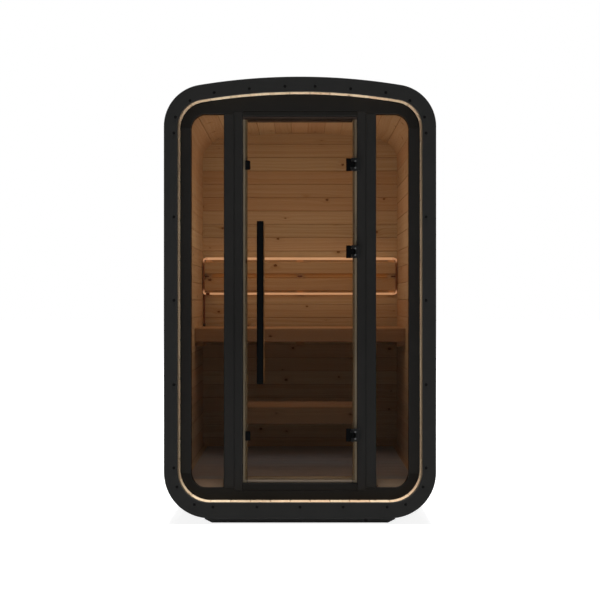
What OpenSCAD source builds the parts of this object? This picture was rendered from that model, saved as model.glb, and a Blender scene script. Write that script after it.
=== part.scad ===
// Cube sauna: an arched cabin with a tinted glass front, a hung glass door,
// a bench, a backrest and a step. Front faces -Y, +Z is up, the feet stand on z = 0.

/* [Cabin] */
// full width over the front ring
cabin_w = 1280; // [1272:1:1290]
// full height from the ground to the crown
cabin_h = 2106; // [2100:1:2112]
// full depth over both rings
cabin_d = 1700; // [1660:10:1760]
// gap between the ground and the ring
lift = 30; // [28:1:34]
// radius of the shallow crown arc
crown_r = 2911; // [2880:1:2940]
// outer radius of the two top corners
top_r = 197; // [192:1:202]
// outer radius of the two low corners
low_r = 216; // [212:1:220]

/* [Shell] */
// thickness of the ring boards at both ends
ring_t = 24; // [20:1:28]
// width of the ring on its sides
ring_side = 64; // [62:1:66]
// width of the ring at the bottom
ring_low = 73; // [71:1:75]
// wall from ring edge to inner surface, sides and top
wall = 69.5; // [68.5:0.5:71]
// set-back of the outer cladding behind the ring edge
clad_in = 4; // [3:1:6]
// thickness of the outer cladding
clad_t = 16; // [14:1:18]
// width of the cladding boards, made even along each part of the outline
clad_board = 118; // [100:2:140]
// depth of the V grooves between cladding boards
groove_d = 4; // [2:0.5:6]
// width of the V grooves at the surface
groove_w = 10; // [6:1:14]

/* [Front wall] */
// set-back of the front wall behind the ring face
recess = 92; // [90:1:96]
// thickness of the front wall frame
front_t = 60; // [56:1:64]
// width of the stiles outside the side windows
stile_w = 50.5; // [48:0.5:54]
// height of the header under the crown
header_h = 92.5; // [88:0.5:96]
// height of the rail under the side windows
rail_h = 59; // [56:1:62]
// width of the posts between the side windows and the door frame
post_w = 49; // [46:1:52]
// radius of the outer window corners
win_r = 69; // [62:1:74]
// thickness of the window glass
win_glass_t = 8; // [6:1:10]
// set-back of the window glass in its frame
win_glass_in = 12; // [8:1:20]

/* [Door frame] */
// width of the door jambs
jamb_w = 41; // [38:1:44]
// rise of the door frame above the side windows
frame_rise = 12; // [10:1:14]
// drop of the door frame below the side windows
frame_drop = 14; // [12:1:16]
// height of the head of the door frame
head_h = 24; // [22:1:26]
// height of the sill of the door frame
sill_h = 35; // [33:1:37]
// width of the wooden stop at the sides and the top
stop_w = 23; // [22:1:24]
// height of the wooden stop over the sill
stop_low = 26; // [24:1:28]

/* [Door] */
// half width of the door glass
door_half = 261; // [250:1:270]
// thickness of the door glass
glass_t = 8; // [6:1:8]
// gap between the door glass and the jambs
gap_side = 12; // [11:1:13]
// gap between the door glass and the head
gap_top = 11; // [8:1:13]
// gap between the door glass and the sill
gap_low = 15; // [10:1:17]
// set-back of the door glass behind the frame face
glass_in = 2; // [1:1:3]
// gap between the door glass and the stop
gap_stop = 8; // [8:1:10]
// distance of the handle from the closing edge of the glass
handle_in = 73; // [66:1:80]
// distance of the handle's lower end from the bottom of the glass
handle_rise = 462; // [430:2:480]
// length of the handle
handle_len = 768; // [720:4:800]
// radius of the outer handle bar
handle_r = 16; // [13:1:17]
// radius of the inner handle bar
grip_r = 18; // [14:1:20]
// radius of the handle posts
post_r = 9; // [7:1:11]
// distance from each handle end to its post
post_in = 90; // [70:5:120]
// distance of the outer bar from the glass
handle_off = 66; // [60:1:67]
// distance of the inner bar from the glass
grip_off = 45; // [40:1:52]
// height of the glass clips on the closing edge
clip_h = 43; // [38:1:48]
// width of the glass clips
clip_w = 24; // [20:1:28]
// thickness of the glass clips on the outside
clip_t = 5; // [4:1:6]
// radius of the rounded corners of the clips
clip_r = 6; // [4:1:8]

/* [Hinges] */
// height of each hinge
hinge_h = 60; // [56:2:64]
// distance of the upper hinge from the top of the glass
hinge_top_in = 220; // [210:1:230]
// distance of the middle hinge below the upper hinge
hinge_mid_in = 415; // [400:1:430]
// distance of the lower hinge from the bottom of the glass
hinge_low_in = 214; // [204:1:224]
// distance of the hinge pin from the hinged edge of the glass
pin_in = 11; // [10:1:12]
// distance of the hinge pin in front of the frame face
pin_off = 11; // [11:1:12]
// radius of the hinge pin
pin_r = 4; // [3.5:0.5:4.5]
// running clearance round the hinge pin
pin_gap = 0.05; // [0.03:0.01:0.09]
// outer radius of the hinge knuckles
knuckle_r = 8; // [7:0.5:8]
// half height of the middle knuckle
mid_k = 14; // [12:1:16]
// gap between the knuckles along the pin
knuckle_gap = 1; // [0.5:0.5:1.5]
// reach of each glass clamp from its pin
clamp_w = 30; // [28:1:34]
// thickness of the clamp plate outside the glass
clamp_t = 6; // [5:1:7]
// thickness of the clamp plate inside the glass
clamp_back_t = 5; // [4:1:6]
// width of the hinge leaf
leaf_w = 19.5; // [18:0.5:22]
// part of the hinge leaf that lies on the jamb
leaf_lap = 13; // [11:1:15]
// thickness of the hinge leaf
leaf_t = 13; // [12:1:14]

/* [Floor and feet] */
// height of the floor bearers
joist_h = 74; // [70:1:78]
// thickness of the floor boards
floor_t = 20; // [18:1:22]
// gap between the floor boards and the curved lining
floor_gap = 6.3; // [4.3:0.5:10.3]
// gap between the bearers' ends and the curved lining
joist_gap = 4; // [2:1:20]
// gap between the outer bearers and the walls at both ends
joist_in = 20; // [10:5:40]
// width of the floor bearers
joist_w = 60; // [50:5:80]
// reach of the feet past the flat of the bottom
foot_out = 28; // [0:2:30]
// width of the feet
foot_w = 90; // [80:5:120]
// distance of the outer feet behind the ring faces
foot_in = 60; // [50:5:90]

/* [Back wall] */
// set-back of the back wall behind the rear ring face
rear_in = 62; // [56:1:70]
// thickness of the back wall lining
back_t = 45; // [40:1:50]
// thickness of the back wall cladding
back_clad_t = 18; // [14:1:20]

/* [Bench] */
// height of the bench above the floor
bench_rise = 705; // [680:5:730]
// depth of the bench from the back wall
bench_d = 618; // [590:2:640]
// thickness of bench and step boards
board_t = 28; // [24:1:30]
// height of the bench front board
fascia_h = 74; // [70:1:80]
// gap between bench boards
board_gap = 12; // [8:1:16]
// number of boards in the seat
seat_n = 5; // [4:1:6]
// width of the bench bearers
bearer_w = 45; // [40:1:50]
// height of the bench bearers
bearer_h = 70; // [60:1:80]

/* [Backrest] */
// height of the lower backrest board above the bench
rest_rise = 209; // [200:1:216]
// height of each backrest board
rest_h = 69; // [66:1:72]
// gap between the two backrest boards
rest_gap = 29; // [26:1:32]
// thickness of the backrest boards
rest_t = 22; // [18:1:26]
// gap between the backrest boards and the side walls
rest_side = 4.5; // [2.5:0.5:8.5]
// thickness of the battens behind the boards
batten_t = 22; // [18:1:28]
// width of the battens
batten_w = 40; // [36:1:46]
// distance of the outer battens from the board ends
batten_in = 11; // [6:1:20]
// height of each light strip
led_h = 17; // [15:1:19]
// gap between a backrest board and its light strip
led_gap = 10; // [8:1:12]
// depth of each light strip
led_t = 18; // [14:1:20]
// radius of the cable tube
tube_r = 8; // [6:1:9]

/* [Step] */
// height of the step above the floor
step_rise = 306; // [290:2:320]
// distance of the step front before the bench front
step_out = 326; // [310:2:340]
// depth of the step
step_d = 390; // [360:10:420]
// half width of the step
step_half = 350; // [330:1:370]
// height of the step front board
step_h = 88; // [80:1:96]
// number of boards in the step
step_n = 3; // [2:1:4]
// thickness of the step legs
leg_w = 45; // [40:1:50]

/* [Hidden] */
$fn = 96;

// Corner centres are shared by every offset of the outline.
half_w = cabin_w / 2;
y0 = -cabin_d / 2;
y1 = cabin_d / 2;
cx_t = half_w - top_r;
cz_arc = cabin_h - crown_r;
cz_t = cz_arc + sqrt((crown_r - top_r) * (crown_r - top_r) - cx_t * cx_t);
cx_l = half_w - low_r;
cz_l = lift + low_r;
wedge = atan2(cx_t, cz_t - cz_arc);
inner_low = lift + ring_low;
inner_half = half_w - wall;
clad_full = clad_in + clad_t;
in_low_r = low_r - wall;
cx_in = inner_half - in_low_r;
yf = y0 + recess;
yb = y1 - rear_in - back_clad_t - back_t;
far = 900;

// Front wall and door frame, from the middle outwards and from the shell inwards.
rebate_in = door_half + gap_side;
frame_out = rebate_in + jamb_w;
win_in = frame_out + post_w;
win_out = inner_half - stile_w;
win_low = inner_low + rail_h;
win_top = cabin_h - wall - header_h;
frame_low = win_low - frame_drop;
frame_top = win_top + frame_rise;
glass_y = yf + glass_in;
stop_y = glass_y + glass_t + gap_stop;
glass_low = frame_low + sill_h + gap_low;
glass_top = frame_top - head_h - gap_top;

// Each outline is [half width, lowest z, crown z, top radius, low radius, crown radius].
p_out = [half_w, lift, cabin_h, top_r, low_r, crown_r];
p_clad = [half_w - clad_in, lift + clad_in, cabin_h - clad_in, top_r - clad_in,
  low_r - clad_in, crown_r - clad_in];
p_line = [half_w - clad_full, lift + clad_full, cabin_h - clad_full, top_r - clad_full,
  low_r - clad_full, crown_r - clad_full];
p_in = [inner_half, inner_low, cabin_h - wall, top_r - wall, low_r - wall, crown_r - wall];
p_ring = [half_w - ring_side, inner_low, cabin_h - wall, top_r - wall, low_r - wall,
  crown_r - wall];

// Solid outline in the X-Z plane, made from pieces that meet on shared edges.
module outline(p) {
  tx = p[0] - p[3];
  az = p[2] - p[5];
  tz = az + sqrt((p[5] - p[3]) * (p[5] - p[3]) - tx * tx);
  lx = p[0] - p[4];
  lz = p[1] + p[4];
  a = atan2(tx, tz - az);
  union() {
    intersection() {
      translate([0, az]) circle(r = p[5], $fn = 1440);
      polygon([[-tx, tz], [tx, tz], [tx + far * sin(a), tz + far * cos(a)],
        [-tx - far * sin(a), tz + far * cos(a)]]);
    }
    for (s = [-1, 1]) {
      intersection() {
        translate([s * tx, tz]) circle(r = p[3]);
        polygon([[s * tx, tz], [s * (tx + far * sin(a)), tz + far * cos(a)],
          [s * (tx + far), tz + far], [s * (tx + far), tz]]);
      }
      intersection() {
        translate([s * lx, lz]) circle(r = p[4]);
        polygon([[s * lx, lz], [s * (lx + far), lz], [s * (lx + far), lz - far],
          [s * lx, lz - far]]);
      }
    }
    polygon([[-lx, p[1]], [lx, p[1]], [lx, lz], [p[0], lz], [p[0], tz], [-p[0], tz],
      [-p[0], lz], [-lx, lz]]);
  }
}

module band(a, b) {
  difference() {
    outline(a);
    outline(b);
  }
}

// Extrudes an X-Z drawing from y = a to y = b.
module slab(a, b) {
  translate([0, b, 0]) rotate([90, 0, 0]) linear_extrude(height = b - a) children();
}

module box(x0, x1, ya, yb2, z0, z1) {
  translate([x0, ya, z0]) cube([x1 - x0, yb2 - ya, z1 - z0]);
}

module pair(x0, x1, ya, yb2, z0, z1) {
  box(x0, x1, ya, yb2, z0, z1);
  box(-x1, -x0, ya, yb2, z0, z1);
}

module roof_zone() {
  polygon([[-cx_t, cz_t], [cx_t, cz_t], [cx_t + far * sin(wedge), cz_t + far * cos(wedge)],
    [-cx_t - far * sin(wedge), cz_t + far * cos(wedge)]]);
}

module top_zone(s) {
  polygon([[s * cx_t, cz_t], [s * (cx_t + far * sin(wedge)), cz_t + far * cos(wedge)],
    [s * (cx_t + far), cz_t + far], [s * (cx_t + far), cz_t]]);
}

module low_zone(s) {
  polygon([[s * cx_l, cz_l], [s * (cx_l + far), cz_l], [s * (cx_l + far), cz_l - far],
    [s * cx_l, cz_l - far]]);
}

module shell_roof(a, b) {
  slab(y0 + ring_t, y1 - ring_t) intersection() { band(a, b); roof_zone(); }
}

module shell_top(a, b) {
  for (s = [-1, 1])
    slab(y0 + ring_t, y1 - ring_t) intersection() { band(a, b); top_zone(s); }
}

module shell_low(a, b) {
  for (s = [-1, 1])
    slab(y0 + ring_t, y1 - ring_t) intersection() { band(a, b); low_zone(s); }
}

// V cutter for a surface that faces +Z at the origin, drawn on past it to twice its size.
module groove() { polygon([[-groove_w, groove_d], [groove_w, groove_d], [0, -groove_d]]); }

// Grooves at the joints of even boards along a flat side of the cladding.
module side_grooves() {
  n = max(1, round((cz_t - cz_l) / clad_board));
  for (s = [-1, 1]) for (i = [0:n])
    translate([s * p_clad[0], cz_l + i * (cz_t - cz_l) / n]) rotate(-s * 90) groove();
}

module bottom_grooves() {
  n = max(1, round(2 * cx_l / clad_board));
  for (i = [0:n]) translate([-cx_l + i * 2 * cx_l / n, p_clad[1]]) rotate(180) groove();
}

// Grooves on an arc about (x, z), from angle a to angle b clockwise from straight up.
module arc_grooves(x, z, r, a, b) {
  n = max(1, round(PI / 180 * abs(b - a) * r / clad_board));
  for (i = [0:n])
    translate([x, z]) rotate(-(a + i * (b - a) / n)) translate([0, r]) groove();
}

module front_ring() { color("#262626") slab(y0, y0 + ring_t) band(p_out, p_ring); }
module rear_ring() { color("#262626") slab(y1 - ring_t, y1) band(p_out, p_ring); }

module lining_roof() { color("#c9a46c") shell_roof(p_line, p_in); }
module lining_top_corners() { color("#c9a46c") shell_top(p_line, p_in); }
module lining_sides() {
  color("#c9a46c") pair(inner_half, half_w - clad_full, y0 + ring_t, y1 - ring_t, cz_l, cz_t);
}
module lining_low_corners() { color("#c9a46c") shell_low(p_line, p_in); }
module lining_bottom() {
  color("#c9a46c") box(-cx_l, cx_l, y0 + ring_t, y1 - ring_t, lift + clad_full, inner_low);
}

module cladding_roof() {
  color("#2b2b2b") slab(y0 + ring_t, y1 - ring_t) difference() {
    intersection() { band(p_clad, p_line); roof_zone(); }
    arc_grooves(0, cz_arc, p_clad[5], -wedge, wedge);
  }
}
module cladding_top_corners() {
  color("#2b2b2b") for (s = [-1, 1]) slab(y0 + ring_t, y1 - ring_t) difference() {
    intersection() { band(p_clad, p_line); top_zone(s); }
    arc_grooves(s * cx_t, cz_t, p_clad[3], s * wedge, s * 90);
  }
}
module cladding_sides() {
  color("#2b2b2b") for (s = [-1, 1]) slab(y0 + ring_t, y1 - ring_t) difference() {
    polygon([[s * p_line[0], cz_l], [s * p_clad[0], cz_l], [s * p_clad[0], cz_t],
      [s * p_line[0], cz_t]]);
    side_grooves();
  }
}
module cladding_low_corners() {
  color("#2b2b2b") for (s = [-1, 1]) slab(y0 + ring_t, y1 - ring_t) difference() {
    intersection() { band(p_clad, p_line); low_zone(s); }
    arc_grooves(s * cx_l, cz_l, p_clad[4], s * 90, s * 180);
  }
}
module cladding_bottom() {
  color("#2b2b2b") slab(y0 + ring_t, y1 - ring_t) difference() {
    polygon([[-cx_l, p_clad[1]], [cx_l, p_clad[1]], [cx_l, p_line[1]],
      [-cx_l, p_line[1]]]);
    bottom_grooves();
  }
}

module back_lining() { color("#c9a46c") slab(yb, yb + back_t) outline(p_in); }
module back_cladding() {
  color("#2b2b2b") slab(yb + back_t, yb + back_t + back_clad_t) outline(p_in);
}

module feet() {
  color("#3a3a3a")
    for (y = [y0 + foot_in, -foot_w / 2, y1 - foot_in - foot_w])
      box(-cx_l - foot_out, cx_l + foot_out, y, y + foot_w, 0, lift + clad_in);
}

// The floor's half width is where the curved lining meets its underside, less a gap.
floor_top = inner_low + joist_h + floor_t;
floor_dz = in_low_r - joist_h;
floor_half = cx_in + sqrt(in_low_r * in_low_r - floor_dz * floor_dz) - floor_gap;
joist_half = cx_in - joist_gap;
joist_n = 4;
joist_step = (yb - yf - front_t - 2 * joist_in - joist_w) / (joist_n - 1);

module floor_joists() {
  color("#b8925a") for (i = [0:joist_n - 1])
    box(-joist_half, joist_half, yf + front_t + joist_in + i * joist_step,
      yf + front_t + joist_in + i * joist_step + joist_w, inner_low, inner_low + joist_h);
}

module floor_deck() {
  color("#8a8076") box(-floor_half, floor_half, yf + front_t, yb, floor_top - floor_t,
    floor_top);
}

// One side window: square corners by the post, round corners by the stile.
module window_2d(s) {
  cx = win_out - win_r;
  lo = win_low + win_r;
  hi = win_top - win_r;
  union() {
    for (z = [lo, hi])
      intersection() {
        translate([s * cx, z]) circle(r = win_r);
        polygon([[s * cx, z < hi ? lo : hi], [s * win_out, z < hi ? lo : hi],
          [s * win_out, z < hi ? win_low : win_top], [s * cx, z < hi ? win_low : win_top]]);
      }
    polygon([[s * win_in, win_low], [s * cx, win_low], [s * cx, lo], [s * win_out, lo],
      [s * win_out, hi], [s * cx, hi], [s * cx, win_top], [s * win_in, win_top]]);
  }
}

// The front wall without its windows and its doorway.
module front_2d() {
  difference() {
    outline(p_in);
    window_2d(1);
    window_2d(-1);
    polygon([[-frame_out, frame_low], [frame_out, frame_low], [frame_out, frame_top],
      [-frame_out, frame_top]]);
  }
}

module cap_zone(z_mid, z_far, z_leg) {
  polygon([[-far, z_far], [far, z_far], [far, z_leg], [win_out - win_r, z_leg],
    [win_out - win_r, z_mid], [-win_out + win_r, z_mid], [-win_out + win_r, z_leg],
    [-far, z_leg]]);
}

module front_header() {
  color("#202020") slab(yf, yf + front_t) intersection() {
    front_2d();
    cap_zone(win_top, cabin_h + 100, win_top - win_r);
  }
}
module front_stiles() {
  color("#202020") for (s = [-1, 1])
    slab(yf, yf + front_t) intersection() {
      outline(p_in);
      polygon([[s * win_out, win_low + win_r], [s * half_w, win_low + win_r],
        [s * half_w, win_top - win_r], [s * win_out, win_top - win_r]]);
    }
}
module front_posts() {
  color("#202020") pair(frame_out, win_in, yf, yf + front_t, win_low, win_top);
}
module front_rail() {
  color("#202020") slab(yf, yf + front_t) intersection() {
    front_2d();
    cap_zone(win_low, -100, win_low + win_r);
  }
}
module side_windows() {
  color("#a08060", 0.4) for (s = [-1, 1])
    slab(yf + win_glass_in, yf + win_glass_in + win_glass_t) window_2d(s);
}

module door_jambs() {
  color("#1e1e1e") pair(rebate_in, frame_out, yf, yf + front_t, frame_low, frame_top);
}
module door_head_sill() {
  color("#1e1e1e") {
    box(-rebate_in, rebate_in, yf, yf + front_t, frame_top - head_h, frame_top);
    box(-rebate_in, rebate_in, yf, yf + front_t, frame_low, frame_low + sill_h);
  }
}
module door_stop_sides() {
  color("#c9a46c") pair(rebate_in - stop_w, rebate_in, stop_y, yf + front_t,
    frame_low + sill_h, frame_top - head_h);
}
module door_stop_ends() {
  color("#c9a46c") {
    box(-rebate_in + stop_w, rebate_in - stop_w, stop_y, yf + front_t,
      frame_top - head_h - stop_w, frame_top - head_h);
    box(-rebate_in + stop_w, rebate_in - stop_w, stop_y, yf + front_t,
      frame_low + sill_h, frame_low + sill_h + stop_low);
  }
}

// Hinges: a leaf block with two knuckles and the pin on the frame, and a clamp
// with the middle knuckle on the glass.
hinge_low = glass_low + hinge_low_in;
hinge_top = glass_top - hinge_top_in;
hinge_z = [hinge_low, hinge_top - hinge_mid_in, hinge_top];
pin_x = door_half - pin_in;
pin_y = yf - pin_off;
end_k = mid_k + knuckle_gap;
leaf_out = rebate_in + leaf_lap;
leaf_x = leaf_out - leaf_w;
// The clamp plate stays clear of the end knuckles, and its web joins the middle one.
clamp_x = pin_x - knuckle_r - 3;

module hinge_leaves() {
  color("#2e2e2e") for (c = hinge_z) union() {
    box(leaf_x, leaf_out, yf - leaf_t, yf, c - hinge_h / 2, c + hinge_h / 2);
    box(leaf_x, rebate_in, yf - leaf_t / 2, stop_y, c - hinge_h / 2, c + hinge_h / 2);
    for (s = [0, 1]) {
      z0 = s == 0 ? c - hinge_h / 2 : c + end_k;
      z1 = s == 0 ? c - end_k : c + hinge_h / 2;
      box(pin_x, leaf_x + leaf_w / 4, pin_y - knuckle_r / 2, pin_y + knuckle_r / 2, z0, z1);
      translate([pin_x, pin_y, z0]) cylinder(r = knuckle_r, h = z1 - z0);
    }
    translate([pin_x, pin_y, c - hinge_h / 2]) cylinder(r = pin_r, h = hinge_h);
  }
}

module hinge_clamps() {
  color("#101010") for (c = hinge_z) {
    difference() {
      union() {
        box(pin_x - clamp_w, clamp_x, glass_y - clamp_t, glass_y, c - hinge_h / 2,
          c + hinge_h / 2);
        box(clamp_x - 1, pin_x, pin_y, glass_y, c - mid_k, c + mid_k);
        translate([pin_x, pin_y, c - mid_k]) cylinder(r = knuckle_r, h = 2 * mid_k);
      }
      translate([pin_x, pin_y, c - mid_k - 1])
        cylinder(r = pin_r + pin_gap, h = 2 * mid_k + 2);
    }
    box(pin_x - clamp_w, pin_x - 6, glass_y + glass_t, glass_y + glass_t + clamp_back_t,
      c - hinge_h / 2, c + hinge_h / 2);
  }
}

handle_x = door_half - handle_in;
handle_low = glass_low + handle_rise;

module door_glass() {
  color("#a08060", 0.4)
    box(-door_half, door_half, glass_y, glass_y + glass_t, glass_low, glass_top);
}

module bar(r, y_bar, y_from, y_to) {
  translate([-handle_x, y_bar, handle_low]) cylinder(r = r, h = handle_len);
  for (z = [handle_low + post_in, handle_low + handle_len - post_in])
    translate([-handle_x, y_to, z]) rotate([90, 0, 0]) cylinder(r = post_r, h = y_to - y_from);
}
module door_handle() {
  color("#0c0e10") union() bar(handle_r, glass_y - handle_off, glass_y - handle_off, glass_y);
}
module inner_handle() {
  color("#9a7a52") union() bar(grip_r, glass_y + glass_t + grip_off, glass_y + glass_t,
    glass_y + glass_t + grip_off);
}
module glass_clips() {
  color("#101010") for (c = [hinge_low - 4, hinge_top - 2]) {
    clip(c, glass_y - clip_t, glass_y);
    clip(c, glass_y + glass_t, glass_y + glass_t + clip_t / 2);
  }
}
module clip(c, a, b) {
  e = clip_h / 2;
  union() {
    box(-door_half, -door_half + clip_w - clip_r, a, b, c - e, c + e);
    box(-door_half + clip_w - clip_r - 1, -door_half + clip_w, a, b, c - e + clip_r,
      c + e - clip_r);
    for (z = [c - e + clip_r, c + e - clip_r])
      translate([-door_half + clip_w - clip_r, b, z]) rotate([90, 0, 0])
        cylinder(r = clip_r, h = b - a);
  }
}

bench_y = yb - bench_d;
bench_top = floor_top + bench_rise;
seat_y = bench_y + board_t + board_gap;
seat_w = (yb - seat_y - seat_n * board_gap) / seat_n;

module bench_bearers() {
  color("#b8925a") {
    pair(inner_half - bearer_w, inner_half, bench_y + board_t, yb,
      bench_top - board_t - bearer_h, bench_top - board_t);
    box(-bearer_w / 2, bearer_w / 2, bench_y + board_t, yb,
      bench_top - board_t - bearer_h, bench_top - board_t);
  }
}
module bench_seat() {
  color("#d0ab74") for (i = [0:seat_n - 1])
    box(-inner_half, inner_half, seat_y + i * (seat_w + board_gap),
      seat_y + i * (seat_w + board_gap) + seat_w, bench_top - board_t, bench_top);
}
module bench_fascia() {
  color("#d0ab74") box(-inner_half, inner_half, bench_y, bench_y + board_t,
    bench_top - fascia_h, bench_top);
}

rest_half = inner_half - rest_side;
rest_low = bench_top + rest_rise;
rest_top = rest_low + 2 * rest_h + rest_gap;
led_low = rest_low - led_gap - led_h;
led_top = rest_top + led_gap;
batten_x = rest_half - batten_in - batten_w / 2;

module backrest_battens() {
  color("#b8925a") for (x = [-batten_x, 0, batten_x])
    box(x - batten_w / 2, x + batten_w / 2, yb - batten_t, yb, led_low, led_top + led_h);
}
module backrest_boards() {
  color("#d0ab74") for (z = [rest_low, rest_low + rest_h + rest_gap])
    box(-rest_half, rest_half, yb - batten_t - rest_t, yb - batten_t, z, z + rest_h);
}
module light_strips() {
  color("#ffd9a0") for (z = [led_low, led_top])
    box(-rest_half, rest_half, yb - batten_t - led_t, yb - batten_t, z, z + led_h);
}
module cable_tube() {
  color("#30251c") translate([-rest_half + tube_r, yb - tube_r - batten_t, bench_top])
    cylinder(r = tube_r, h = led_low - bench_top);
}

step_y = bench_y - step_out;
step_top = floor_top + step_rise;
tread_y = step_y + board_t + board_gap;
tread_w = (step_y + step_d - tread_y - (step_n - 1) * board_gap) / step_n;

module step_legs() {
  color("#b8925a") for (y = [step_y + board_t, step_y + step_d - leg_w])
    pair(step_half - leg_w, step_half, y, y + leg_w, floor_top,
      step_top - board_t - leg_w);
}
module step_bearers() {
  color("#b8925a") pair(step_half - leg_w, step_half, step_y + board_t, step_y + step_d,
    step_top - board_t - leg_w, step_top - board_t);
}
module step_top() {
  color("#d0ab74") for (i = [0:step_n - 1])
    box(-step_half, step_half, tread_y + i * (tread_w + board_gap),
      tread_y + i * (tread_w + board_gap) + tread_w, step_top - board_t, step_top);
}
module step_fascia() {
  color("#d0ab74") box(-step_half, step_half, step_y, step_y + board_t,
    step_top - step_h, step_top);
}

front_ring();
rear_ring();
lining_roof();
lining_top_corners();
lining_sides();
lining_low_corners();
lining_bottom();
cladding_roof();
cladding_top_corners();
cladding_sides();
cladding_low_corners();
cladding_bottom();
back_lining();
back_cladding();
feet();
floor_joists();
floor_deck();
front_header();
front_stiles();
front_posts();
front_rail();
side_windows();
door_jambs();
door_head_sill();
door_stop_sides();
door_stop_ends();
hinge_leaves();
door_glass();
hinge_clamps();
door_handle();
inner_handle();
glass_clips();
bench_bearers();
bench_seat();
bench_fascia();
backrest_battens();
backrest_boards();
light_strips();
cable_tube();
step_legs();
step_bearers();
step_top();
step_fascia();
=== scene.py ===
"""A small glazed sauna cabin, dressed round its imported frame.

Every new shape is a loft: a table of closed loops of points, joined by quads. A straight
timber carries a loop from one end to the other, a ring carries it round the cabin's
outline, and a turned part is circles about an axis. Lengths are in metres.
"""
import math

import bmesh
import bpy
import numpy as np
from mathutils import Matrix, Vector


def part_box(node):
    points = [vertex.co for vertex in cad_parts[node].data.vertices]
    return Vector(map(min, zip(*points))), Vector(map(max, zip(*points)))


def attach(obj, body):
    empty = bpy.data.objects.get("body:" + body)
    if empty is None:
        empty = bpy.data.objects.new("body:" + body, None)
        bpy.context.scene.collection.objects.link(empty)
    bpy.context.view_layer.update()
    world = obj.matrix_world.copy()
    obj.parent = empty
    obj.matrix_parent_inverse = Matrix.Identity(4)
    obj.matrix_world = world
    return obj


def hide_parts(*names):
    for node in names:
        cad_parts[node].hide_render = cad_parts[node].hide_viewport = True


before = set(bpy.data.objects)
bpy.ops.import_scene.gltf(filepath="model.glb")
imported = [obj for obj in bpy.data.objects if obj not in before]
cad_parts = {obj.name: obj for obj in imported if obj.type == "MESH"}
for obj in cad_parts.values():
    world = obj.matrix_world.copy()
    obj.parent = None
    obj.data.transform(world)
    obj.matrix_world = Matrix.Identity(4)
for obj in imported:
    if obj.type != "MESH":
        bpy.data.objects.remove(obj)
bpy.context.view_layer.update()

# ---------------------------------------------------------------------------
# Shell lining
# The cabin is one closed arch of spruce staves laid front to back, edge to edge, with a
# small V at every joint. Their inner faces stay bare.

OUTLINE = (0.640, 0.030, 2.1057, 0.197, 0.216, 2.911)
INNER = (0.5705, 0.103, 2.0365, 0.1275, 0.1465, 2.8415)
STAVE_BACK = 0.020
CABIN_ENDS = [corner[1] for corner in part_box("lining_roof")]
STAVE_WIDTH = 0.094
BOARD_SHIFT = (3.7, 4.0)
END_GRAIN = 0.3


def inset(shape, by):
    """The outline moved inwards by a distance all round."""
    half, low, crown, r_top, r_low, r_crown = shape
    return (half - by, low + by, crown - by, r_top - by, r_low - by, r_crown - by)


def arch(shape, t):
    """Points on a cabin outline, given as (x, z).

    shape is (half width, lowest z, crown z, top radius, low radius, crown radius). t runs
    from 0 to 8 over eight pieces, from the bottom over the right side and the crown and
    down the left side. A point is a centre plus a radius in the direction of an angle,
    and centre, radius and angle change evenly along a piece.
    """
    half, low, crown, r_top, r_low, r_crown = shape
    tx, lx, lz, az = half - r_top, half - r_low, low + r_low, crown - r_crown
    tz = az + math.sqrt((r_crown - r_top) ** 2 - tx**2)
    lean, q = math.atan2(tx, tz - az), math.pi / 2
    rows = np.array([
        (-lx, lz, r_low, -q, lx, lz, r_low, -q),
        (lx, lz, r_low, -q, lx, lz, r_low, 0),
        (lx, lz, r_low, 0, tx, tz, r_top, 0),
        (tx, tz, r_top, 0, tx, tz, r_top, q - lean),
        (0, az, r_crown, q - lean, 0, az, r_crown, q + lean),
        (-tx, tz, r_top, q + lean, -tx, tz, r_top, 2 * q),
        (-tx, tz, r_top, 2 * q, -lx, lz, r_low, 2 * q),
        (-lx, lz, r_low, 2 * q, -lx, lz, r_low, 3 * q)])
    t = np.mod(np.asarray(t, float), 8)
    part = np.minimum(t.astype(int), 7)
    share = (t - part)[..., None]
    cx, cz, r, angle = np.moveaxis(rows[part, :4] * (1 - share) + rows[part, 4:] * share, -1, 0)
    return np.stack([cx + r * np.cos(angle), cz + r * np.sin(angle)], -1)


def even_joints(shape, width):
    """The t values of joints about that width apart, evenly round the whole outline.

    The outline's running length is summed over two laps of fine steps from the bottom
    middle, and the joints are read off it. The first and the last are the same joint, half
    a width beyond the start.
    """
    lap = 8000
    t = np.linspace(0.5, 16.5, 2 * lap + 1)
    run = np.append(0, np.cumsum(np.linalg.norm(np.diff(arch(shape, t), axis=0), axis=1)))
    count = round(run[lap] / width)
    return np.interp((np.arange(count + 1) + 0.5) * run[lap] / count, run, t)


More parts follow.
